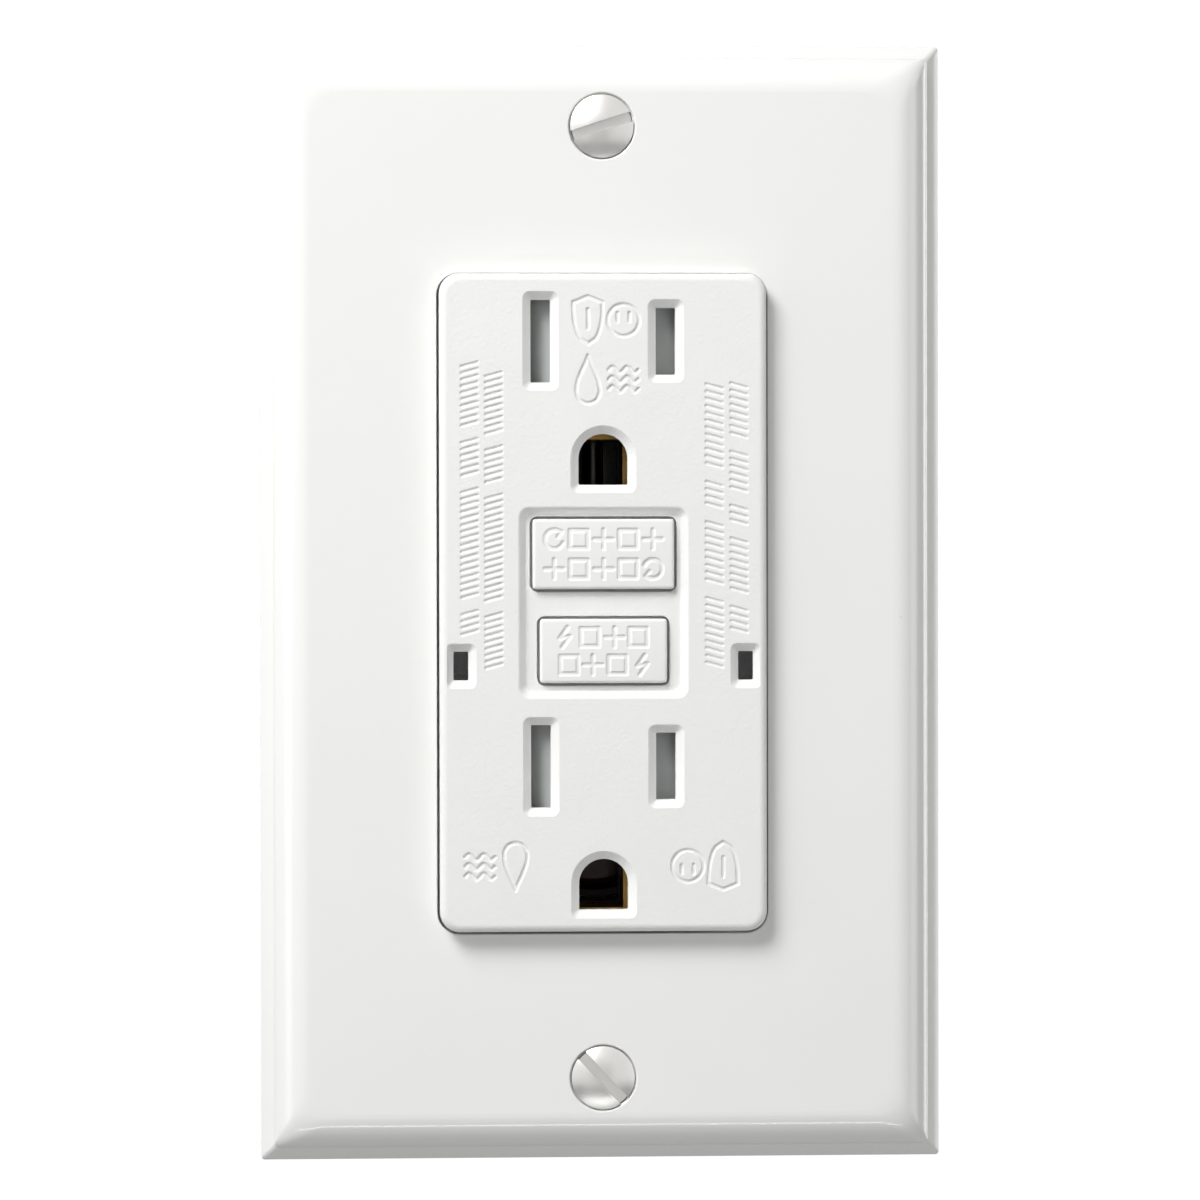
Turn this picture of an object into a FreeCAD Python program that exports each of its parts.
"""A one-gang ground-fault outlet with its decorator wall plate, as an assembly of separate solids.

Millimetres. +X is right and +Y is into the wall for someone facing the outlet, and +Z is up.
The origin is the centre of the two box-mounting screws, in the plane where the plate's rim
meets the wall, so the visible front is at negative Y and the body is at positive Y.
Hot parts are on the +X side and neutral parts on the -X side.
"""

import FreeCAD, Part  # noqa: E401

import math
import os

Vector = FreeCAD.Vector
INCH = 25.4

# --- Wall plate -------------------------------------------------------------------------------
PLATE_WIDTH = 2.75 * INCH
PLATE_HEIGHT = 4.5 * INCH
PLATE_DEPTH = 5.6
PLATE_WALL = 2.1
RIM_SIDE = 0.6  # height of the upright edge that meets the wall
LIP_WIDTH, LIP_HEIGHT = 1.4, 2.3  # the flat lip ends this far in and this far out
BEVEL_WIDTH = 5.2  # the rounded shoulder ends and the flat front begins
RIM_WALL = 1.6
OPENING_WIDTH, OPENING_HEIGHT, OPENING_CORNER = 33.9, 67.4, 2.3

# --- Screw spacings of the standard box and plate ----------------------------------------------
BOX_SCREW_Z = 3.281 * INCH / 2
PLATE_SCREW_Z = 3.8125 * INCH / 2
SCREW_RADIUS = 1.75  # number 6-32 machine screw
SCREW_NECK_RADIUS, SCREW_NECK_END_Y = 1.5, 1.8  # the unthreaded neck that the fibre square holds
WIRE_SIDES = 10  # flats on a spring's wire
RUNNING_GAP = 0.05  # radial, where a part turns or slides on another

# --- Front cover -------------------------------------------------------------------------------
FACE_WIDTH, FACE_HEIGHT, FACE_CORNER = 33.2, 66.7, 2.0
FACE_Y = -7.8
FACE_WALL = 1.9
FACE_INSIDE_Y = FACE_Y + FACE_WALL
FLANGE_WIDTH, FLANGE_HEIGHT, FLANGE_Y = 41.6, 68.4, -2.9
COVER_BACK_Y = -1.25
COVER_WALL = 1.7
EDGE_ROUND = 0.6
WELL_WIDTH, WELL_HEIGHT, WELL_Y, WELL_DRAFT = 16.8, 19.0, -7.0, 0.3
DISH = 0.85  # width of the sloped border round each slot, ground hole and window
DISH_DEPTH = 0.7

# --- Sockets, to the standard 15 A grounded pattern --------------------------------------------
SOCKET_Z = {"upper": 26.5, "lower": -16.6}
BLADE_X = INCH / 4
SLOT_WIDTH = 2.0
SLOT_HEIGHT = {"hot": 6.8, "neutral": 8.4}
GROUND_DROP = 0.468 * INCH
GROUND_RADIUS, GROUND_FLAT = 2.5, 2.67
SIDES = {"hot": 1, "neutral": -1}

# --- Buttons and indicator windows -------------------------------------------------------------
RESET_Z, TEST_Z = 4.93, -4.89
RESET_SIZE, TEST_SIZE = (14.35, 7.1), (12.9, 6.5)
BUTTON_GAP = 0.2
BUTTON_FLANGE = 0.75
RESET_FRONT_Y, TEST_FRONT_Y = -7.9, -7.8
BUTTON_BACK_Y = -5.0
WINDOW_X, WINDOW_Z = 14.45, -6.4
WINDOW_WIDTH, WINDOW_HEIGHT = 1.5, 2.9

# --- Strap -------------------------------------------------------------------------------------
STRAP_THICK = 1.2
STRAP_BACK_Y = -0.05  # the strap clears the wall, so that the plate's rim is what rests on it
STRAP_HALF, STRAP_BODY_Z = 13.0, 34.3
EAR_HALF, EAR_END_Z = 10.5, 52.6
LOBE_RADIUS, LOBE_Z = 6.2, 46.4

# --- Rear case ---------------------------------------------------------------------------------
CASE_WIDTH, CASE_HEIGHT, CASE_CORNER = 42.4, 69.0, 2.2
CASE_FRONT_Y, CASE_BACK_Y = -STRAP_THICK, 32.0
CASE_WALL, CASE_BACK_WALL = 1.7, 2.0
LABEL_WIDTH, LABEL_HEIGHT, GAUGE_LENGTH = 21.0, 26.0, 14.0
FUNNEL, FUNNEL_DEPTH = 4.1, 0.6
POST_X, POST_Z, POST_RADIUS = 17.0, 30.2, 2.6
COVER_POST_END_Y = 4.9

# --- Terminals ---------------------------------------------------------------------------------
TERMINAL_Y, TERMINAL_Z = 12.2, 22.0
POCKET_Y, POCKET_Z = (6.0, 18.5), (15.8, 28.2)
POCKET_WALL = 1.0
TERMINAL_X = 16.4
GROUND_SCREW_Y, GROUND_SCREW_Z = 4.6, -38.3
TERMINAL_THICK = 1.2
CLAMP_X, CLAMP_THICK, CLAMP_SIZE = 12.6, 2.0, 8.2
WIRE_X, WIRE_OFFSET, WIRE_HOLE = 15.5, 3.3, 2.9

# --- Contacts and mechanism --------------------------------------------------------------------
FRAME_HALF, FRAME_END_Z, FRAME_FRONT_Y, FRAME_BACK_Y = 11.9, 32.4, 0.9, 10.8
FRAME_WALL, FRAME_FLOOR = 1.0, 1.2
MECHANISM_Z = 9.9  # half height of the opening in the frame floor for the mechanism
BUS_X, BUS_THICK, BUS_Y = 9.4, 0.8, (1.2, 5.2)
CONTACT_Z, CONTACT_X, CONTACT_RADIUS = 5.0, 10.4, 1.5
ARM_Y, ARM_THICK, ARM_ROOT_Z, ARM_TIP_Z = 13.4, 0.4, -14.2, 8.0
ARM_X = (8.4, 12.4)
LIFTER_Y, LIFTER_Z, LIFTER_HALF = (13.95, 18.0), (0.3, 9.6), 7.2
LATCH_Y, LATCH_THICK, LATCH_TRAVEL = 15.9, 0.6, 1.2
LEAF_Y, LEAF_THICK, LEAF_ROOT_Z = 3.38, 0.3, -13.0
PIN_RADIUS, NECK_RADIUS = 1.25, 0.7
NECK_Y = (13.6, 18.2)
SOLENOID_Y = 15.6
SOLENOID_Z = (18.4, 29.4)
PLUNGER_TIP_Z, PLUNGER_BODY_Z = 11.1, (21.4, 28.2)
TOROID_Z, TOROID_RADIUS, TOROID_INNER = -23.0, 7.3, 3.8
TOROID_Y = ((14.4, 17.9), (18.1, 21.6))
TRANSFORMER_Y = (13.9, 22.2)
BOARD_Y, BOARD_THICK = 22.5, 1.6
BOARD_BACK_Y = BOARD_Y + BOARD_THICK


# --- Shape helpers -----------------------------------------------------------------------------
def block(x, y, z):
    """A box from three (low, high) pairs, given in either order."""
    low = Vector(min(x), min(y), min(z))
    return Part.makeBox(abs(x[1] - x[0]), abs(y[1] - y[0]), abs(z[1] - z[0]), low)


def centred(x, y, z, width, depth_to, height):
    """A box centred on x and z, from y to depth_to."""
    return block((x - width / 2, x + width / 2), (y, depth_to), (z - height / 2, z + height / 2))


def rod(start, direction, radius, length):
    return Part.makeCylinder(radius, length, start, direction)


def rod_y(x, z, y0, y1, radius):
    return rod(Vector(x, y0, z), Vector(0, 1, 0), radius, y1 - y0)


def cone_y(x, z, y0, y1, radius0, radius1):
    return Part.makeCone(radius0, radius1, y1 - y0, Vector(x, y0, z), Vector(0, 1, 0))


def edges_along(shape, direction):
    """The straight edges of a shape that run along a direction."""
    found = []
    for edge in shape.Edges:
        if isinstance(edge.Curve, Part.Line) and abs(edge.tangentAt(0).dot(direction)) > 0.999:
            found.append(edge)
    return found


def pillow(width, height, corner, y0, y1, x=0.0, z=0.0):
    """A rounded rectangle of that width and height, extruded from y0 to y1."""
    body = centred(x, y0, z, width, y1, height)
    return body.makeFillet(corner, edges_along(body, Vector(0, 1, 0)))


def front_edges(shape, y):
    """The edges that lie wholly in the plane at y."""
    return [e for e in shape.Edges if all(abs(v.Point.y - y) < 1e-4 for v in e.Vertexes)
            and abs(e.CenterOfMass.y - y) < 1e-4]


def prism(points, axis, low, high):
    """A polygon extruded along X, Y or Z. Points are the other two coordinates, in X, Y, Z order."""
    place = {"x": lambda a, b: Vector(low, a, b), "y": lambda a, b: Vector(a, low, b),
             "z": lambda a, b: Vector(a, b, low)}[axis]
    corners = [place(*p) for p in points]
    face = Part.Face(Part.makePolygon(corners + corners[:1]))
    along = {"x": Vector(1, 0, 0), "y": Vector(0, 1, 0), "z": Vector(0, 0, 1)}[axis]
    return face.extrude(along * (high - low))


def ribbon(points, thickness, low, high):
    """Sheet metal bent along points in the XY plane, and as tall as low to high in Z."""
    left, right = [], []
    for i, (px, py) in enumerate(points):
        ax, ay = points[max(i - 1, 0)]
        bx, by = points[min(i + 1, len(points) - 1)]
        length = math.hypot(bx - ax, by - ay)
        nx, ny = -(by - ay) / length * thickness / 2, (bx - ax) / length * thickness / 2
        left.append((px + nx, py + ny))
        right.append((px - nx, py - ny))
    return prism(left + right[::-1], "z", low, high)


def coil(start, direction, radius, wire, length, turns):
    """A compression spring on a straight axis, its wire inside start and the far end.

    The wire has flats in place of a round section, so that its mesh keeps its volume.
    """
    height = length - wire
    helix = Part.makeHelix(height / turns, height, radius)
    angles = [2 * math.pi * i / WIRE_SIDES for i in range(WIRE_SIDES + 1)]
    corners = [Vector(radius + wire / 2 * math.cos(a), 0, wire / 2 * math.sin(a)) for a in angles]
    profile = Part.makePolygon(corners)
    spring = Part.Wire(helix).makePipeShell([profile], True, True)
    spring.translate(Vector(0, 0, wire / 2))
    turn = FreeCAD.Rotation(Vector(0, 0, 1), direction)
    spring.Placement = FreeCAD.Placement(start, turn).multiply(spring.Placement)
    return Part.Solid(spring) if spring.ShapeType == "Shell" else spring


def mirrored(shape):
    """The same piece for the other side of the outlet."""
    return shape.mirror(Vector(0, 0, 0), Vector(1, 0, 0))


def for_side(shape, side):
    return shape if SIDES[side] > 0 else mirrored(shape)


def fuse(first, *others):
    return first.fuse(list(others)).removeSplitter()


def cut(first, *others):
    return first.cut(list(others))


def dished(x, z, width, height):
    """The sloped border cut into the face round a rectangular opening."""
    wires = []
    for grow, y in ((DISH + 0.02, FACE_Y - 0.02), (0.0, FACE_Y + DISH_DEPTH)):
        w, h = width / 2 + grow, height / 2 + grow
        corners = [Vector(x - w, y, z - h), Vector(x + w, y, z - h),
                   Vector(x + w, y, z + h), Vector(x - w, y, z + h)]
        wires.append(Part.makePolygon(corners + corners[:1]))
    return Part.makeLoft(wires, True, True)


def ground_outline(z, grow, y):
    """The D of a ground hole, flat at the bottom, made larger by grow on every side."""
    r, flat = GROUND_RADIUS + grow, GROUND_FLAT + grow
    bottom = [Vector(r, y, z), Vector(r, y, z - flat), Vector(-r, y, z - flat), Vector(-r, y, z)]
    arch = Part.Arc(bottom[-1], Vector(0, y, z + r), bottom[0]).toShape()
    return Part.Wire([Part.makeLine(a, b) for a, b in zip(bottom, bottom[1:])] + [arch])


def ground_z(socket):
    return SOCKET_Z[socket] - GROUND_DROP


# --- Wall plate and its screws -----------------------------------------------------------------
def plate_profile(half, axis, length):
    """The plate's outside as one bevelled section, extruded past the plate's other dimension."""
    def at(u, depth):
        return Vector(u, -depth, -length / 2) if axis == "z" else Vector(-length / 2, -depth, u)

    rise, run = PLATE_DEPTH - LIP_HEIGHT, BEVEL_WIDTH - LIP_WIDTH
    radius = (rise**2 + run**2) / (2 * rise)
    centre_u, centre_d = BEVEL_WIDTH, PLATE_DEPTH - radius
    start = math.atan2(LIP_HEIGHT - centre_d, LIP_WIDTH - centre_u)
    middle = (start + math.pi / 2) / 2
    if start < 0:
        middle = (start + 2 * math.pi + math.pi / 2) / 2
    mid_u, mid_d = centre_u + radius * math.cos(middle), centre_d + radius * math.sin(middle)
    left = [(0, 0), (0, RIM_SIDE), (LIP_WIDTH, LIP_HEIGHT)]
    edges = [Part.makeLine(at(-half + a[0], a[1]), at(-half + b[0], b[1])) for a, b in zip(left, left[1:])]
    edges.append(Part.Arc(at(-half + LIP_WIDTH, LIP_HEIGHT), at(-half + mid_u, mid_d),
                          at(-half + BEVEL_WIDTH, PLATE_DEPTH)).toShape())
    edges.append(Part.makeLine(at(-half + BEVEL_WIDTH, PLATE_DEPTH), at(half - BEVEL_WIDTH, PLATE_DEPTH)))
    edges.append(Part.Arc(at(half - BEVEL_WIDTH, PLATE_DEPTH), at(half - mid_u, mid_d),
                          at(half - LIP_WIDTH, LIP_HEIGHT)).toShape())
    edges += [Part.makeLine(at(half - a[0], a[1]), at(half - b[0], b[1]))
              for a, b in zip(left[::-1], left[::-1][1:])]
    edges.append(Part.makeLine(at(half, 0), at(-half, 0)))
    along = Vector(0, 0, length) if axis == "z" else Vector(length, 0, 0)
    return Part.Face(Part.Wire(Part.__sortEdges__(edges))).extrude(along)


def plate_cavity(half, axis, length):
    """The hollow behind the plate, as one tapered section."""
    floor = -(PLATE_DEPTH - PLATE_WALL)
    outer, inner, knee = half - RIM_WALL, half - BEVEL_WIDTH, -1.2
    section = [(-outer, 0.1), (-outer, knee), (-inner, floor), (inner, floor), (outer, knee), (outer, 0.1)]
    if axis == "z":
        return prism(section, "z", -length / 2, length / 2)
    return prism([(y, u) for u, y in section], "x", -length / 2, length / 2)


def wall_plate():
    slab = plate_profile(PLATE_WIDTH / 2, "z", PLATE_HEIGHT).common(
        plate_profile(PLATE_HEIGHT / 2, "x", PLATE_WIDTH))
    cavity = plate_cavity(PLATE_WIDTH / 2, "z", PLATE_HEIGHT).common(
        plate_cavity(PLATE_HEIGHT / 2, "x", PLATE_WIDTH))
    plate = cut(slab, cavity)
    floor_y = -(PLATE_DEPTH - PLATE_WALL)
    rib_x, rib_top, rib_half = 26.0, -1.8, 40.0
    extras = [block((s * rib_x - 0.5, s * rib_x + 0.5), (floor_y - 0.2, rib_top), (-rib_half, rib_half))
              for s in (-1, 1)]
    extras += [rod_y(0, s * PLATE_SCREW_Z, floor_y - 0.2, -1.9, 3.0) for s in (-1, 1)]
    plate = fuse(plate, *extras)
    holes = [pillow(OPENING_WIDTH, OPENING_HEIGHT, OPENING_CORNER, -PLATE_DEPTH - 1, 1)]
    for s in (-1, 1):
        holes.append(rod_y(0, s * PLATE_SCREW_Z, -PLATE_DEPTH - 1, 1, SCREW_RADIUS + 0.3))
        holes.append(cone_y(0, s * PLATE_SCREW_Z, -PLATE_DEPTH - 0.02, -PLATE_DEPTH + 1.8, 3.42, 1.9))
    return cut(plate, *holes)


def plate_screws():
    """The two plate screws, each left with its slot at the angle where it came tight."""
    return Part.makeCompound([plate_screw(PLATE_SCREW_Z, 21.0), plate_screw(-PLATE_SCREW_Z, -51.0)])


def plate_screw(z, slot_deg):
    """An oval-head slotted screw: countersunk below the plate's face and domed above it."""
    head_radius, rim_y, cone_y_end = 3.22, -PLATE_DEPTH + 0.05, -PLATE_DEPTH + 1.65
    dome, shank_end, slot_width, slot_floor = 0.8, 7.0, 1.0, -PLATE_DEPTH + 0.4
    crown = Part.Arc(Vector(0, rim_y - dome, 0), Vector(head_radius * 0.55, rim_y - dome * 0.72, 0),
                     Vector(head_radius, rim_y, 0)).toShape()
    outline = [Vector(head_radius, rim_y, 0), Vector(SCREW_RADIUS, cone_y_end, 0),
               Vector(SCREW_RADIUS, shank_end, 0), Vector(0, shank_end, 0), Vector(0, rim_y - dome, 0)]
    wire = Part.Wire([crown] + [Part.makeLine(a, b) for a, b in zip(outline, outline[1:])])
    screw = Part.Face(wire).revolve(Vector(0, 0, 0), Vector(0, 1, 0), 360)
    slot = centred(0, -PLATE_DEPTH - 2, 0, 2 * head_radius + 1, slot_floor, slot_width)
    slot.rotate(Vector(0, 0, 0), Vector(0, -1, 0), slot_deg)
    screw = cut(Part.Solid(screw) if screw.ShapeType == "Shell" else screw, slot)
    screw.translate(Vector(0, 0, z))
    return screw


# --- Front cover, buttons and light pipes ------------------------------------------------------
def front_cover():
    face = pillow(FACE_WIDTH, FACE_HEIGHT, FACE_CORNER, FACE_Y, FLANGE_Y + 0.2)
    face = face.makeFillet(EDGE_ROUND, front_edges(face, FACE_Y))
    flange = pillow(FLANGE_WIDTH, FLANGE_HEIGHT, FACE_CORNER, FLANGE_Y, COVER_BACK_Y)
    hollow = pillow(FACE_WIDTH - 2 * COVER_WALL, FACE_HEIGHT - 2 * COVER_WALL, 1.0,
                    FACE_INSIDE_Y, COVER_BACK_Y + 0.1)
    body = cut(fuse(face, flange), hollow)
    posts = [rod_y(sx * POST_X, sz * POST_Z, FLANGE_Y + 0.5, COVER_POST_END_Y, 2.2)
             for sx in (-1, 1) for sz in (-1, 1)]
    body = fuse(body, *posts)
    well_back = pillow(WELL_WIDTH - 2 * WELL_DRAFT, WELL_HEIGHT - 2 * WELL_DRAFT, 1.0, FACE_Y - 0.1, WELL_Y)
    slope = Part.makeLoft([well_outline(0.0, FACE_Y - 0.01), well_outline(WELL_DRAFT, WELL_Y - 0.02)], True, True)
    tools = [well_back, slope]
    for (width, height), z in ((RESET_SIZE, RESET_Z), (TEST_SIZE, TEST_Z)):
        tools.append(pillow(width + 2 * BUTTON_GAP, height + 2 * BUTTON_GAP, 0.7, FACE_Y - 1, 0, 0, z))
    for socket, z in SOCKET_Z.items():
        for side, sign in SIDES.items():
            tools.append(centred(sign * BLADE_X, FACE_Y - 1, z, SLOT_WIDTH, 0, SLOT_HEIGHT[side]))
            tools.append(dished(sign * BLADE_X, z, SLOT_WIDTH, SLOT_HEIGHT[side]))
        zg = ground_z(socket)
        tools.append(Part.Face(ground_outline(zg, 0.0, FACE_Y - 1)).extrude(Vector(0, 6, 0)))
        tools.append(Part.makeLoft([ground_outline(zg, DISH + 0.02, FACE_Y - 0.02),
                                    ground_outline(zg, 0.0, FACE_Y + DISH_DEPTH)], True, True))
    for s in (-1, 1):
        tools.append(centred(s * WINDOW_X, FACE_Y - 1, WINDOW_Z, WINDOW_WIDTH, 0, WINDOW_HEIGHT))
        tools.append(dished(s * WINDOW_X, WINDOW_Z, WINDOW_WIDTH, WINDOW_HEIGHT))
        tools += [rod_y(s * POST_X, sz * POST_Z, 0.4, COVER_POST_END_Y + 1, 1.22) for sz in (-1, 1)]
    return cut(body, *tools)


def well_outline(inset, y):
    w, h = WELL_WIDTH / 2 - inset, WELL_HEIGHT / 2 - inset
    corners = [Vector(-w, y, -h), Vector(w, y, -h), Vector(w, y, h), Vector(-w, y, h)]
    return Part.makePolygon(corners + corners[:1])


def button(size, z, front_y):
    """A button cap with a flange that the front cover keeps in."""
    width, height = size
    cap = pillow(width, height, 0.5, front_y, BUTTON_BACK_Y, 0, z)
    cap = cap.makeFillet(0.4, front_edges(cap, front_y))
    flange = pillow(width + 2 * BUTTON_FLANGE, height + 2 * BUTTON_FLANGE, 0.5,
                    FACE_INSIDE_Y + RUNNING_GAP, BUTTON_BACK_Y, 0, z)
    return fuse(cap, flange)


def reset_button():
    cap = button(RESET_SIZE, RESET_Z, RESET_FRONT_Y)
    spring_seat = rod_y(0, RESET_Z, -6.4, BUTTON_BACK_Y + 0.1, 2.9)
    pin_socket = rod_y(0, RESET_Z, -7.2, BUTTON_BACK_Y, PIN_RADIUS)
    return cut(cap, spring_seat, pin_socket)


def reset_pin():
    """The steel pin under the reset cap: a long neck and a head that the latch catches."""
    body = rod_y(0, RESET_Z, -7.2, NECK_Y[0], PIN_RADIUS)
    neck = rod_y(0, RESET_Z, NECK_Y[0], NECK_Y[1], NECK_RADIUS)
    head = cone_y(0, RESET_Z, NECK_Y[1], NECK_Y[1] + 1.4, PIN_RADIUS, 0.6)
    return fuse(body, neck, head)


def test_button():
    stem = rod_y(0, TEST_Z, BUTTON_BACK_Y - 0.5, 2.6, 1.0)
    tip = cone_y(0, TEST_Z, 2.6, LEAF_Y - 0.06, 1.0, 0.4)
    return fuse(button(TEST_SIZE, TEST_Z, TEST_FRONT_Y), stem, tip)


def light_pipes():
    """The clear bars that carry the indicators' light to their windows."""
    play = 2 * RUNNING_GAP
    return Part.makeCompound([centred(s * WINDOW_X, FACE_Y + DISH_DEPTH, WINDOW_Z, WINDOW_WIDTH - play, 18.4,
                                      WINDOW_HEIGHT - play) for s in (-1, 1)])


# --- Tamper-resistant shutters -----------------------------------------------------------------
SHUTTER_X, SHUTTER_Y = (4.4, 8.1), (-5.8, -3.95)
SHUTTER_MARGIN = 0.4
TRAY_Y, TRAY_X, TRAY_Z = (-3.9, -2.9), 10.8, (-5.9, 5.05)
TRAY_RIM = 0.8


def shutter(socket, side):
    """A wedge behind one blade slot. A blade on its slope pushes it towards the middle."""
    half = SLOT_HEIGHT[side] / 2 + SHUTTER_MARGIN
    (x0, x1), (y0, y1) = SHUTTER_X, SHUTTER_Y
    section = [(x0, y0), (x0 + 0.5, y0), (x1, y1 - 0.45), (x1, y1), (x0, y1)]
    wedge = prism(section, "z", SOCKET_Z[socket] - half, SOCKET_Z[socket] + half)
    spring_cup = rod(Vector(x0 - 0.1, -4.9, SOCKET_Z[socket]), Vector(1, 0, 0), 0.8, 0.5)
    return for_side(cut(wedge, spring_cup), side)


def shutter_trays():
    """The two carriers that hold the shutters against the back of the face."""
    trays = []
    for z in SOCKET_Z.values():
        z_range = (z + TRAY_Z[0], z + TRAY_Z[1])
        floor = block((-TRAY_X, TRAY_X), TRAY_Y, z_range)
        rim = block((-TRAY_X, TRAY_X), (FACE_INSIDE_Y, TRAY_Y[0]), (z_range[0], z_range[0] + TRAY_RIM))
        stops = [block((s * (SHUTTER_X[1] + 0.1), s * (SHUTTER_X[1] + 1.1)), (FACE_INSIDE_Y, TRAY_Y[0]), z_range)
                 for s in (-1, 1)]
        slots = [centred(s * BLADE_X, TRAY_Y[0] - 0.05, z, 2.6, TRAY_Y[1] + 0.1, 9.2) for s in (-1, 1)]
        trays.append(cut(fuse(floor, rim, *stops), *slots))
    return Part.makeCompound(trays)


def shutter_spring(socket):
    length = 2 * SHUTTER_X[0] + 0.6
    return coil(Vector(-length / 2, -4.9, SOCKET_Z[socket]), Vector(1, 0, 0), 0.55, 0.2, length, 12)


# --- Strap, its screws and the ground path -----------------------------------------------------
def ground_window(socket, margin):
    """The opening in a sheet that the ground sleeve passes through."""
    z = ground_z(socket)
    return (-3.1 - margin, 3.1 + margin), (z - 3.7 - margin, z + 2.9 + margin)


def mounting_strap():
    thick = (-STRAP_THICK, STRAP_BACK_Y)
    strap = block((-STRAP_HALF, STRAP_HALF), thick, (-STRAP_BODY_Z, STRAP_BODY_Z))
    parts, tools = [], []
    for s in (-1, 1):
        ear = centred(0, -STRAP_THICK, s * (EAR_END_Z + STRAP_BODY_Z - 2) / 2, 2 * EAR_HALF, STRAP_BACK_Y,
                      EAR_END_Z - STRAP_BODY_Z + 2)
        parts.append(ear.makeFillet(1.5, edges_along(ear, Vector(0, 1, 0))))
        for sx in (-1, 1):
            parts.append(rod_y(sx * EAR_HALF, s * LOBE_Z, -STRAP_THICK, STRAP_BACK_Y, LOBE_RADIUS))
            groove_x = sx * (EAR_HALF + 0.4)
            tools.append(block((groove_x - 0.2, groove_x + 0.2), (-STRAP_THICK - 0.1, -0.75),
                               (s * (LOBE_Z - 7), s * (LOBE_Z + 7))))
        slot = centred(0, -2, s * BOX_SCREW_Z, 3.6, 1, 3.9)
        tools.append(fuse(slot, *[rod_y(sx * 1.8, s * BOX_SCREW_Z, -2, 1, 1.95) for sx in (-1, 1)]))
        tools.append(rod_y(0, s * PLATE_SCREW_Z, -2, 1, SCREW_RADIUS + RUNNING_GAP))
    parts.append(block((-EAR_HALF, -EAR_HALF + STRAP_THICK), (-STRAP_THICK, GROUND_SCREW_Y + 4),
                       (GROUND_SCREW_Z - 2.7, GROUND_SCREW_Z + 2.7)))
    tools.append(rod(Vector(-EAR_HALF - 1, GROUND_SCREW_Y, GROUND_SCREW_Z), Vector(1, 0, 0),
                     SCREW_RADIUS + RUNNING_GAP, 3))
    for socket, z in SOCKET_Z.items():
        tools += [centred(s * BLADE_X, -2, z, 3.8, 1, 11.2) for s in (-1, 1)]
        x_range, z_range = ground_window(socket, 0.15)
        tools.append(block(x_range, (-2, 1), z_range))
        tools += [rod_y(sx * 4.8, ground_z(socket) - 0.4, -2, 1, 0.9) for sx in (-1, 1)]
    tools.append(block((-8.3, 8.3), (-2, 1), (-9.6, 9.8)))
    return cut(fuse(strap, *parts), *tools)


def box_screws():
    """The two long screws that hold the strap to the wall box."""
    both = []
    for s in (-1, 1):
        head = rod_y(0, s * BOX_SCREW_Z, -3.2, -STRAP_THICK, 3.4)
        head = head.makeFillet(0.9, front_edges(head, -3.2))
        slot = centred(0, -4, s * BOX_SCREW_Z, 8, -2.2, 1.0)
        neck = rod_y(0, s * BOX_SCREW_Z, -STRAP_THICK, SCREW_NECK_END_Y, SCREW_NECK_RADIUS)
        shank = rod_y(0, s * BOX_SCREW_Z, SCREW_NECK_END_Y, 28.0, SCREW_RADIUS)
        both.append(cut(fuse(head, neck, shank), slot))
    return Part.makeCompound(both)


def screw_retainers():
    """Fibre squares that keep the box screws in the strap until they are driven home."""
    return Part.makeCompound([cut(centred(0, 0.3, s * BOX_SCREW_Z, 8.0, 1.1, 8.0),
                                  rod_y(0, s * BOX_SCREW_Z, 0, 2, SCREW_RADIUS + 0.02)) for s in (-1, 1)])


def ground_contacts():
    return Part.makeCompound([ground_contact(socket) for socket in SOCKET_Z])


def ground_contact(socket):
    """The brass sleeve that grips a plug's ground pin, with the foot that is riveted to the strap."""
    z = ground_z(socket)
    (x0, x1), (z0, z1) = ground_window(socket, 0.0)
    sleeve = block((x0, x1), (-1.0, 8.4), (z0, z1))
    foot = block((-6.2, 6.2), (STRAP_BACK_Y + 0.02, 0.82), (z0 - 0.2, z1 + 0.2))
    bore = block((x0 + 0.8, x1 - 0.8), (-2, 9), (z0 + 0.8, z1 - 0.8))
    slits = [block((x - 0.25, x + 0.25), (1.6, 9), (z0 - 1, z1 + 1)) for x in (x0 + 0.95, x1 - 0.95)]
    holes = [rod_y(sx * 4.8, z - 0.4, -1, 2, 0.9) for sx in (-1, 1)]
    return cut(fuse(sleeve, foot), bore, *slits, *holes)


def ground_rivets():
    rivets = []
    for socket in SOCKET_Z:
        for sx in (-1, 1):
            x, z = sx * 4.8, ground_z(socket) - 0.4
            rivets.append(fuse(rod_y(x, z, -1.7, -STRAP_THICK, 1.35), rod_y(x, z, -STRAP_THICK, 0.82, 0.9),
                               rod_y(x, z, 0.82, 1.3, 1.2)))
    return Part.makeCompound(rivets)


def side_screw(head_x, y, z, shank_end_x):
    """A terminal screw on an axis along X, its slotted head facing +X."""
    head_radius, head_height = 3.5, 2.3
    head = rod(Vector(head_x, y, z), Vector(1, 0, 0), head_radius, head_height)
    head = head.makeFillet(0.6, [e for e in head.Edges if abs(e.CenterOfMass.x - head_x - head_height) < 1e-4
                                 and isinstance(e.Curve, Part.Circle)])
    shank = rod(Vector(shank_end_x, y, z), Vector(1, 0, 0), SCREW_RADIUS, head_x - shank_end_x)
    top = head_x + head_height
    slots = [block((top - 1.1, top + 1), (y - 0.5, y + 0.5), (z - 5, z + 5)),
             block((top - 1.1, top + 1), (y - 2.2, y + 2.2), (z - 0.5, z + 0.5))]
    return cut(fuse(head, shank), *slots)


def ground_screw():
    return mirrored(side_screw(EAR_HALF + RUNNING_GAP, GROUND_SCREW_Y, GROUND_SCREW_Z, 5.0))


# --- Line and load terminals -------------------------------------------------------------------
TERMINAL_SIGN = {"load": 1, "line": -1}
POCKET_PLAY = 0.05


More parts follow.
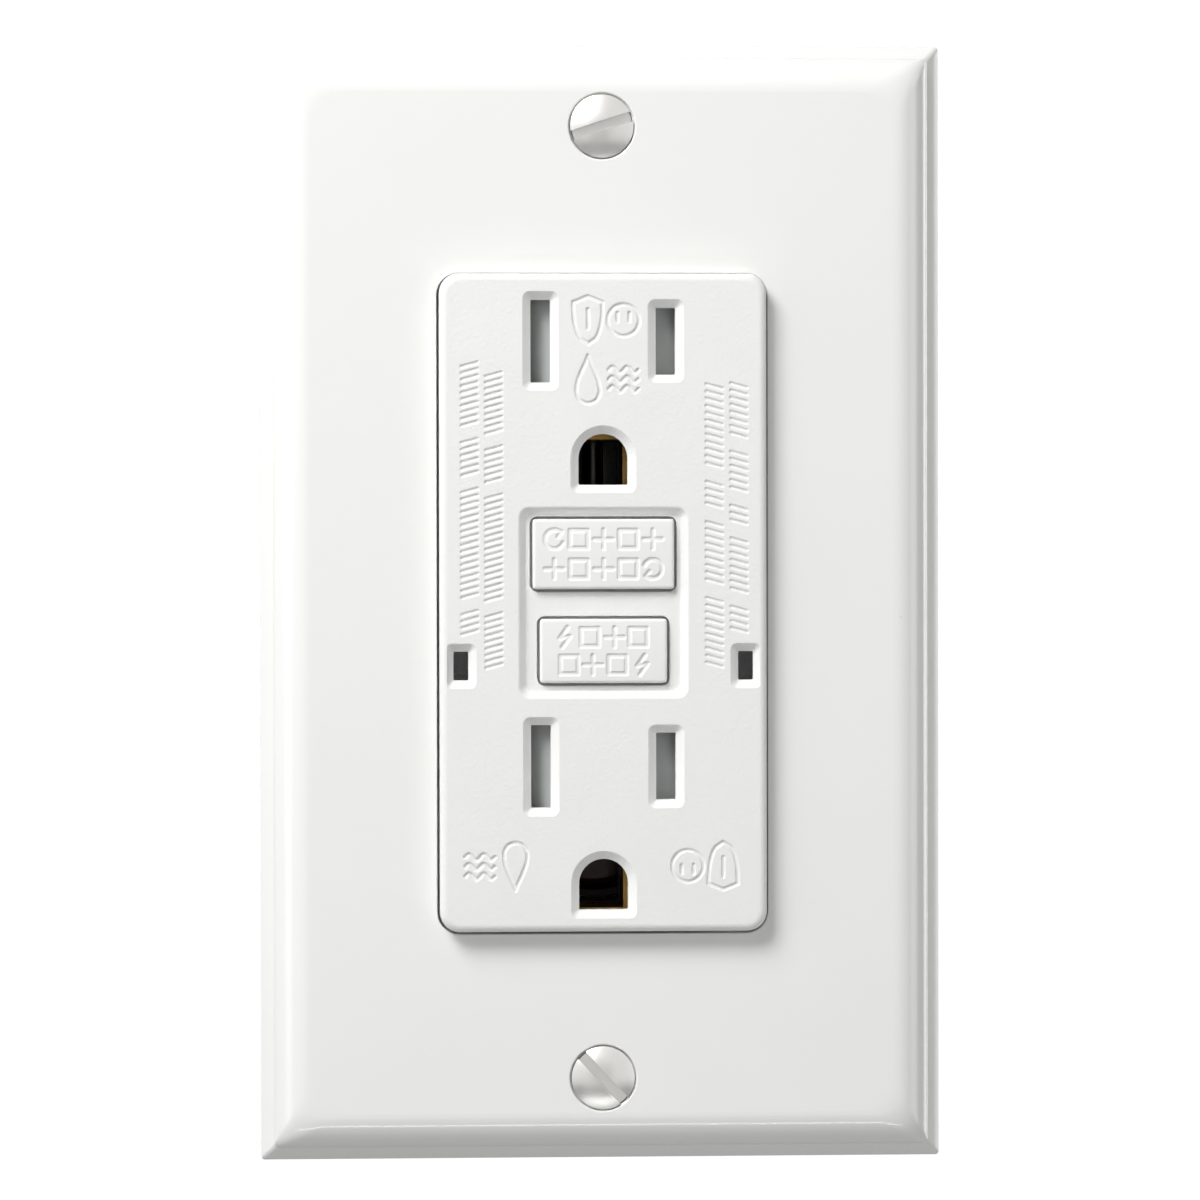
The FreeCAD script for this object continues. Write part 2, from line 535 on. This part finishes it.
def terminal_pair(end):
    """The hot and neutral terminal plates of one end."""
    return Part.makeCompound([terminal_plate(end, side) for side in SIDES])


def terminal_plate(end, side):
    """The plate under a terminal screw, with the tab that carries its current inwards."""
    sign = TERMINAL_SIGN[end]
    x0, x1 = TERMINAL_X, TERMINAL_X + TERMINAL_THICK
    z0, z1 = (sign * (POCKET_Z[0] + POCKET_PLAY), sign * (POCKET_Z[1] - POCKET_PLAY))
    plate = block((x0, x1), (POCKET_Y[0] + POCKET_PLAY, POCKET_Y[1] - POCKET_PLAY), (z0, z1))
    if end == "load":
        tabs = [block((x0 - 1.0, x0), (3.0, 7.1), (20, 24)), block((BUS_X + BUS_THICK, x0), (3.0, 4.0), (20, 24))]
    else:
        tabs = [block((ARM_X[0], x0), (ARM_Y - 0.8, ARM_Y), (-17.4, -15.9)),
                block(ARM_X, (ARM_Y - 0.8, ARM_Y + ARM_THICK), (-17.4, ARM_ROOT_Z - 0.3))]
    hole = rod(Vector(x0 - 1, TERMINAL_Y, sign * TERMINAL_Z), Vector(1, 0, 0), SCREW_RADIUS + RUNNING_GAP, 4)
    return for_side(cut(fuse(plate, *tabs), hole), side)


def terminal_clamp(end, side):
    """The threaded plate that the terminal screw draws outwards onto the wires."""
    z = TERMINAL_SIGN[end] * TERMINAL_Z
    half = CLAMP_SIZE / 2
    plate = block((CLAMP_X, CLAMP_X + CLAMP_THICK), (TERMINAL_Y - half, TERMINAL_Y + half), (z - half, z + half))
    plate = plate.makeFillet(0.6, edges_along(plate, Vector(1, 0, 0)))
    hole = rod(Vector(CLAMP_X - 1, TERMINAL_Y, z), Vector(1, 0, 0), SCREW_RADIUS + RUNNING_GAP, 4)
    grooves = [prism([(CLAMP_X + CLAMP_THICK + 0.01, z + dz - 0.9), (CLAMP_X + CLAMP_THICK + 0.01, z + dz + 0.9),
                      (CLAMP_X + CLAMP_THICK - 0.5, z + dz)], "y", TERMINAL_Y - half - 1, TERMINAL_Y + half + 1)
               for dz in (-WIRE_OFFSET + 0.3, WIRE_OFFSET - 0.3)]
    return for_side(cut(plate, hole, *grooves), side)


def terminal_screw(end, side):
    head_x = TERMINAL_X + TERMINAL_THICK + RUNNING_GAP
    return for_side(side_screw(head_x, TERMINAL_Y, TERMINAL_SIGN[end] * TERMINAL_Z, CLAMP_X - 0.5), side)


# --- Contact frame and current-carrying strips -------------------------------------------------
def contact_frame():
    """The insulating tub between the face and the mechanism, which holds the blade contacts."""
    wall, front, back = FRAME_WALL, FRAME_FRONT_Y, FRAME_BACK_Y
    floor_y = back - FRAME_FLOOR
    inner = FRAME_HALF - wall
    tub = block((-FRAME_HALF, FRAME_HALF), (front, back), (-FRAME_END_Z, FRAME_END_Z))
    pocket = block((-inner, inner), (front - 1, floor_y), (-FRAME_END_Z + wall, FRAME_END_Z - wall))
    opening = block((-inner, inner), (floor_y - 1, back + 1), (-MECHANISM_Z, MECHANISM_Z))
    tub = cut(tub, pocket, opening)
    parts = []
    for s in (-1, 1):
        parts.append(block((s * 8.3, s * 9.1), (1.0, floor_y), (-10.7, 10.7)))
        parts.append(block((-9.1, 9.1), (1.0, floor_y + 0.2), (s * 9.9, s * 10.7)))
        parts += [block((s * 3.4, s * 5.4), (floor_y + 0.2, 19.5), z) for z in ((9.9, 10.7), (-0.9, 0.0))]
    parts.append(block((-9.1, 9.1), (floor_y - 0.6, floor_y + 1.2), (-0.9, 0.0)))
    parts.append(block((-8.5, 8.5), (1.0, 2.4), (0.6, 9.95)))
    parts.append(block((-8.5, 8.5), (1.0, 2.2), (-9.95, -1.0)))
    parts.append(block((-2.0, 2.0), (LEAF_Y + LEAF_THICK + 0.05, floor_y + 0.2), (-14.8, LEAF_ROOT_Z)))
    tools = [rod_y(0, RESET_Z, 0, 3, PIN_RADIUS + 0.1), rod_y(0, TEST_Z, 0, 3, 1.1)]
    tools.append(block((-6.6, 6.6), (0, floor_y - 0.5), (-FRAME_END_Z - 1, -FRAME_END_Z + wall + 0.5)))
    for socket, z in SOCKET_Z.items():
        x_range, z_range = ground_window(socket, -0.8)
        tools.append(block(x_range, (floor_y - 1, back + 1), z_range))
        tools += [centred(s * BLADE_X, floor_y - 1, z, 4.0, back + 1, 9.4) for s in (-1, 1)]
    tools.append(block((-1.9, 1.9), (0, 5.6), (-11, -9.5)))
    for s in (-1, 1):
        tools.append(block((s * (inner - 1), s * (FRAME_HALF + 1)), (0, 4.05), (19.9, 24.1)))
    return cut(fuse(tub, *parts), *tools)


def receptacle_contact(side):
    """One strip that feeds the same blade slot of both sockets, and carries the fixed contact."""
    x0, x1 = BUS_X, BUS_X + BUS_THICK
    bus = [block((x0, x1), BUS_Y, (-19.5, 30.0)),
           block((x0, x1), (BUS_Y[1] - 0.1, 11.6), (CONTACT_Z - 2, CONTACT_Z + 2)),
           block((x0, 12.2), (10.85, 11.6), (CONTACT_Z - 2, CONTACT_Z + 2))]
    leaf = [(1.3, 11.0), (1.3, 4.4), (0.9, 2.8), (1.5, 1.3)]
    for z in SOCKET_Z.values():
        half = SLOT_HEIGHT[side] / 2
        for s in (-1, 1):
            bus.append(ribbon([(BLADE_X + s * dx, y) for dx, y in leaf], 0.6, z - half, z + half))
        bus.append(block((BLADE_X - 1.6, BLADE_X + 1.6), (10.6, 11.2), (z - half, z + half)))
        bus.append(block((BLADE_X + 1.4, x0 + 0.1), (6.4, 8.4), (z - 2, z + 2)))
        bus.append(block((x0, x1), (BUS_Y[1] - 0.1, 8.4), (z - 2, z + 2)))
    return for_side(fuse(bus[0], *bus[1:]), side)


def fixed_contacts():
    """The two silver buttons on the receptacle strips."""
    return Part.makeCompound([rod_y(s * CONTACT_X, CONTACT_Z, 11.6, 12.4, CONTACT_RADIUS) for s in (-1, 1)])


def contact_arm(side):
    """The springy arm that closes one pole."""
    arm = block(ARM_X, (ARM_Y, ARM_Y + ARM_THICK), (ARM_ROOT_Z, ARM_TIP_Z))
    arm = arm.makeFillet(1.0, [e for e in edges_along(arm, Vector(0, 1, 0)) if e.CenterOfMass.z > 0])
    return for_side(arm, side)


def arm_contact(side):
    return for_side(rod_y(CONTACT_X, CONTACT_Z, 12.45, ARM_Y, CONTACT_RADIUS), side)


def test_leaf():
    """The brass leaf that the test stem bends onto the test post."""
    leaf = block((-1.4, 1.4), (LEAF_Y, LEAF_Y + LEAF_THICK), (LEAF_ROOT_Z - 1.2, -3.6))
    return leaf.makeFillet(0.6, [e for e in edges_along(leaf, Vector(0, 1, 0)) if e.CenterOfMass.z > -5])


def test_post():
    """The stiff lead that the leaf touches, rising from the circuit board."""
    return fuse(rod_y(0, TEST_Z, 5.8, BOARD_Y, 0.7), rod_y(0, TEST_Z, 5.65, 6.1, 1.0))


# --- Latch mechanism ---------------------------------------------------------------------------
def lifter():
    """The block that carries the latch and pushes both arms closed with its wings."""
    body = block((-LIFTER_HALF, LIFTER_HALF), LIFTER_Y, LIFTER_Z)
    wings = block((-12.0, 12.0), (LIFTER_Y[0] - 0.1, 15.6), (CONTACT_Z - 1.1, CONTACT_Z + 0.9))
    pin_hole = rod_y(0, RESET_Z, 10, 20, PIN_RADIUS + 0.2)
    latch_slot = block((-3.1, 3.1), (LATCH_Y - 0.05, LATCH_Y + LATCH_THICK + 0.05), (-1, 12))
    tab_notch = block((-2.3, 2.3), (13, LATCH_Y), (LIFTER_Z[1] - 0.75, LIFTER_Z[1] + 1))
    reliefs = [block((s * 4.4, s * 6.2), (16.9, 19), (1.6, 8.4)) for s in (-1, 1)]
    return cut(fuse(body, wings), pin_hole, latch_slot, tab_notch, *reliefs)


def latch_plate():
    """The steel keyhole plate. Its narrow end holds the pin, and its wide end lets the pin go."""
    y = (LATCH_Y, LATCH_Y + LATCH_THICK)
    sheet = block((-3.0, 3.0), y, (0.6, 9.4))
    tongue = block((-2.0, 2.0), y, (9.3, 11.0))
    tab = block((-2.0, 2.0), (14.1, y[1]), (10.4, 11.0))
    narrow = NECK_RADIUS + 0.15
    tools = [rod_y(0, RESET_Z, 14, 18, narrow), rod_y(0, RESET_Z + LATCH_TRAVEL, 14, 18, PIN_RADIUS + 0.25),
             block((-narrow, narrow), (14, 18), (RESET_Z, RESET_Z + LATCH_TRAVEL))]
    return cut(fuse(sheet, tongue, tab), *tools)


def reset_spring():
    return coil(Vector(0, -6.35, RESET_Z), Vector(0, 1, 0), 2.2, 0.45, 7.3, 6)


def rod_z(y, z0, z1, radius):
    return rod(Vector(0, y, z0), Vector(0, 0, 1), radius, z1 - z0)


def solenoid_bobbin():
    z0, z1 = SOLENOID_Z
    flanges = [block((-4.7, 4.7), (SOLENOID_Y - 4.6, SOLENOID_Y + 4.6), z) for z in ((z0, z0 + 1.2), (z1 - 1.2, z1))]
    return cut(fuse(rod_z(SOLENOID_Y, z0, z1, 2.4), *flanges), rod_z(SOLENOID_Y, z0 - 1, z1 + 1, 1.8))


def solenoid_coil():
    z0, z1 = SOLENOID_Z[0] + 1.25, SOLENOID_Z[1] - 1.25
    return cut(rod_z(SOLENOID_Y, z0, z1, 4.3), rod_z(SOLENOID_Y, z0 - 1, z1 + 1, 2.42))


def solenoid_frame():
    """The steel yoke round the solenoid, open towards the face."""
    z0, z1 = SOLENOID_Z[0] - 0.05, SOLENOID_Z[1] + 0.05
    y0, y1 = SOLENOID_Y - 3.6, SOLENOID_Y + 4.65
    plates = [block((-4.4, 4.4), (y0, y1 + 1.0), (z0 - 1.1, z0)), block((-4.4, 4.4), (y0, y1 + 1.0), (z1, z1 + 1.1)),
              block((-4.4, 4.4), (y1, y1 + 1.0), (z0 - 1.1, z1 + 1.1))]
    return cut(fuse(*plates), rod_z(SOLENOID_Y, z0 - 3, z0 + 1, 1.3))


def plunger():
    """The iron core, with the thin nose that pushes the latch plate."""
    body = rod_z(SOLENOID_Y, PLUNGER_BODY_Z[0], PLUNGER_BODY_Z[1], 1.7)
    return fuse(body, rod_z(SOLENOID_Y, PLUNGER_TIP_Z, PLUNGER_BODY_Z[0], 1.1))


def plunger_spring():
    z0 = SOLENOID_Z[0] + 0.02
    return coil(Vector(0, SOLENOID_Y, z0), Vector(0, 0, 1), 1.45, 0.22, PLUNGER_BODY_Z[0] - z0 - 0.02, 4)


# --- Electronics -------------------------------------------------------------------------------
def ring_y(z, y0, y1, outer, inner):
    return cut(rod_y(0, z, y0, y1, outer), rod_y(0, z, y0 - 1, y1 + 1, inner))


def transformer_housing():
    """The cup round both toroids. The line conductors run through its hub."""
    front, back = TRANSFORMER_Y
    shell = ring_y(TOROID_Z, front, back, 8.4, 7.7)
    hub = ring_y(TOROID_Z, front, back, 3.4, 2.6)
    floor = ring_y(TOROID_Z, back - 0.5, back, 8.4, 2.6)
    return fuse(shell, hub, floor)


def toroids():
    rings = []
    for y0, y1 in TOROID_Y:
        ring = ring_y(TOROID_Z, y0, y1, TOROID_RADIUS, TOROID_INNER)
        rings.append(ring.makeFillet(0.8, [e for e in ring.Edges if isinstance(e.Curve, Part.Circle)]))
    return Part.makeCompound(rings)


def circuit_board():
    y = (BOARD_Y, BOARD_BACK_Y)
    wide, narrow, notch_z, end_z = 18.8, 12.0, 15.6, 30.4
    outline = []
    for sx, sz in ((1, 1), (-1, 1), (-1, -1), (1, -1)):
        corner = [(sx * wide, sz * notch_z), (sx * narrow, sz * notch_z), (sx * narrow, sz * end_z)]
        outline += corner if sx == sz else corner[::-1]
    board = prism(outline, "y", *y)
    holes = [rod_y(sx * 9.5, sz * 28.2, 20, 26, 1.1) for sx in (-1, 1) for sz in (-1, 1)]
    return cut(board, *holes)


def varistor():
    """A coated disc on two leads."""
    disc = rod(Vector(-17.2, 16.6, 7.6), Vector(1, 0, 0), 5.0, 3.4)
    disc = disc.makeFillet(1.2, [e for e in disc.Edges if isinstance(e.Curve, Part.Circle)])
    leads = [rod_y(-15.5, 7.6 + dz, 18.5, BOARD_Y, 0.4) for dz in (-3.0, 3.0)]
    return fuse(disc, *leads)


def storage_capacitor():
    can = rod_y(15.7, 7.8, 12.6, BOARD_Y, 2.9)
    return can.makeFillet(0.5, front_edges(can, 12.6))


def film_capacitor():
    body = block((-11.0, -4.0), (BOARD_BACK_Y, 29.4), (5.0, 17.0))
    return body.makeFillet(0.6, body.Edges)


def control_chip():
    body = block((-2.0, 4.0), (BOARD_BACK_Y + 0.3, BOARD_BACK_Y + 2.1), (-10.0, 0.0))
    body = body.makeChamfer(0.3, front_edges(body, BOARD_BACK_Y + 2.1))
    legs = []
    for row in range(7):
        z = -9.2 + row * 1.4
        for x in (-2.9, 4.0):
            legs.append(block((x, x + 0.9), (BOARD_BACK_Y, BOARD_BACK_Y + 0.9), (z - 0.2, z + 0.2)))
    return fuse(body, *legs)


def resistors():
    """Five axial resistors side by side on the back of the board."""
    group = []
    for i in range(5):
        x, y = 6.8 + 2.6 * i if i < 2 else -11.4 + 2.6 * (i - 2), BOARD_BACK_Y + 1.2
        body = rod(Vector(x, y, -7.0), Vector(0, 0, 1), 1.0, 6.0)
        body = body.makeFillet(0.4, [e for e in body.Edges if isinstance(e.Curve, Part.Circle)])
        wire = rod(Vector(x, y, -9.4), Vector(0, 0, 1), 0.3, 10.8)
        feet = [rod_y(x, z, BOARD_BACK_Y, y, 0.22) for z in (-9.0, 1.0)]
        group.append(fuse(body, wire, *feet))
    return Part.makeCompound(group)


def trip_thyristor():
    body = cut(rod_y(8.0, 11.0, BOARD_BACK_Y + 1.0, 29.0, 2.3), block((9.4, 12), (20, 31), (5, 16)))
    legs = [rod_y(8.0, 11.0 + dz, BOARD_BACK_Y, BOARD_BACK_Y + 1.2, 0.3) for dz in (-1.3, 0, 1.3)]
    return fuse(body, *legs)


def indicator_leds():
    pair = []
    for s in (-1, 1):
        x = s * WINDOW_X
        dome = Part.makeSphere(1.25, Vector(x, 19.8, WINDOW_Z))
        pair.append(fuse(rod_y(x, WINDOW_Z, 19.8, 21.9, 1.25), dome, rod_y(x, WINDOW_Z, 21.6, BOARD_Y, 1.6)))
    return Part.makeCompound(pair)


# --- Rear case ---------------------------------------------------------------------------------
def rear_case():
    outer = pillow(CASE_WIDTH, CASE_HEIGHT, CASE_CORNER, CASE_FRONT_Y, CASE_BACK_Y)
    outer = outer.makeFillet(0.8, front_edges(outer, CASE_BACK_Y))
    inside = CASE_BACK_Y - CASE_BACK_WALL
    hollow = pillow(CASE_WIDTH - 2 * CASE_WALL, CASE_HEIGHT - 2 * CASE_WALL, 1.0, CASE_FRONT_Y - 0.1, inside)
    case = cut(outer, hollow)
    parts, tools = [], []
    for sx in (-1, 1):
        for sz in (-1, 1):
            x, z = sx * POST_X, sz * POST_Z
            parts.append(rod_y(x, z, COVER_POST_END_Y + 0.1, inside + 0.1, POST_RADIUS))
            tools += [rod_y(x, z, 0, CASE_BACK_Y + 1, 1.4), rod_y(x, z, CASE_BACK_Y - 1.8, CASE_BACK_Y + 1, 2.6)]
            y_walls = (POCKET_Y[0] - POCKET_WALL, POCKET_Y[1] + POCKET_WALL)
            z_walls = (sz * (POCKET_Z[0] - POCKET_WALL), sz * (POCKET_Z[1] + POCKET_WALL))
            parts.append(block((sx * TERMINAL_X, sx * (CASE_WIDTH / 2 - 0.2)), y_walls, z_walls))
            tools.append(block((sx * (TERMINAL_X - 1), sx * CASE_WIDTH), POCKET_Y,
                               (sz * POCKET_Z[0], sz * POCKET_Z[1])))
            for dz in (-WIRE_OFFSET, WIRE_OFFSET):
                wire = (sx * WIRE_X, sz * TERMINAL_Z + dz)
                tools.append(pillow(WIRE_HOLE, WIRE_HOLE, 0.5, inside - 1, CASE_BACK_Y + 1, *wire))
                tools.append(pillow(FUNNEL, FUNNEL, 0.9, CASE_BACK_Y - FUNNEL_DEPTH, CASE_BACK_Y + 1, *wire))
    notch_half = STRAP_HALF + 0.1
    tools.append(block((-notch_half, notch_half), (CASE_FRONT_Y - 1, 0.02), (-CASE_HEIGHT, CASE_HEIGHT)))
    return cut(fuse(case, *parts), *tools, *back_recesses())


def back_recesses():
    """What is sunk in the case's back: a blank label field, two strip gauges and the ejector marks."""
    label = pillow(LABEL_WIDTH, LABEL_HEIGHT, 1.0, CASE_BACK_Y - 0.3, CASE_BACK_Y + 1)
    gauges = [pillow(GAUGE_LENGTH, 1.6, 0.7, CASE_BACK_Y - 0.5, CASE_BACK_Y + 1, 0, s * 17.5) for s in (-1, 1)]
    marks = [rod_y(sx * 7.0, sz * 29.0, CASE_BACK_Y - 0.2, CASE_BACK_Y + 1, 1.8) for sx in (-1, 1) for sz in (-1, 1)]
    return [label, *gauges, *marks]


def case_screws():
    """The four long screws that pull the rear case onto the front cover."""
    group = []
    for sx in (-1, 1):
        for sz in (-1, 1):
            x, z = sx * POST_X, sz * POST_Z
            head = rod_y(x, z, CASE_BACK_Y - 1.8, CASE_BACK_Y - 0.4, 2.4)
            shank = rod_y(x, z, 1.0, CASE_BACK_Y - 1.8, 1.2)
            slots = [centred(x, CASE_BACK_Y - 1.1, z, w, CASE_BACK_Y + 1, h) for w, h in ((3.0, 0.6), (0.6, 3.0))]
            group.append(cut(fuse(head, shank), *slots))
    return Part.makeCompound(group)


# --- The assembly ------------------------------------------------------------------------------
def assembly():
    """Every node by name."""
    nodes = {
        "wall_plate": wall_plate(),
        "plate_screws": plate_screws(),
        "front_cover": front_cover(),
        "reset_button": reset_button(),
        "test_button": test_button(),
        "reset_pin": reset_pin(),
        "reset_spring": reset_spring(),
        "light_pipes": light_pipes(),
        "shutter_trays": shutter_trays(),
        "mounting_strap": mounting_strap(),
        "box_screws": box_screws(),
        "screw_retainers": screw_retainers(),
        "ground_contacts": ground_contacts(),
        "ground_rivets": ground_rivets(),
        "ground_screw": ground_screw(),
        "contact_frame": contact_frame(),
        "fixed_contacts": fixed_contacts(),
        "test_leaf": test_leaf(),
        "test_post": test_post(),
        "lifter": lifter(),
        "latch_plate": latch_plate(),
        "solenoid_bobbin": solenoid_bobbin(),
        "solenoid_coil": solenoid_coil(),
        "solenoid_frame": solenoid_frame(),
        "plunger": plunger(),
        "plunger_spring": plunger_spring(),
        "transformer_housing": transformer_housing(),
        "toroids": toroids(),
        "circuit_board": circuit_board(),
        "varistor": varistor(),
        "storage_capacitor": storage_capacitor(),
        "film_capacitor": film_capacitor(),
        "control_chip": control_chip(),
        "resistors": resistors(),
        "trip_thyristor": trip_thyristor(),
        "indicator_leds": indicator_leds(),
        "rear_case": rear_case(),
        "case_screws": case_screws(),
    }
    for socket in SOCKET_Z:
        nodes[f"{socket}_shutter_spring"] = shutter_spring(socket)
        for side in SIDES:
            nodes[f"{socket}_{side}_shutter"] = shutter(socket, side)
    for end in TERMINAL_SIGN:
        nodes[f"{end}_terminals"] = terminal_pair(end)
    for side in SIDES:
        nodes[f"{side}_receptacle_contact"] = receptacle_contact(side)
        nodes[f"{side}_contact_arm"] = contact_arm(side)
        nodes[f"{side}_arm_contact"] = arm_contact(side)
        for end in TERMINAL_SIGN:
            nodes[f"{end}_{side}_clamp"] = terminal_clamp(end, side)
            nodes[f"{end}_{side}_screw"] = terminal_screw(end, side)
    return nodes


def main():
    os.makedirs("parts", exist_ok=True)
    for name, shape in assembly().items():
        if not shape.isValid():
            raise ValueError(f"{name} is not a valid shape")
        shape.exportStep(f"parts/{name}.step")
        print(f"{name}: {len(shape.Solids)} solid(s), {shape.Volume:.1f} mm3")


if __name__ == "__main__":
    main()
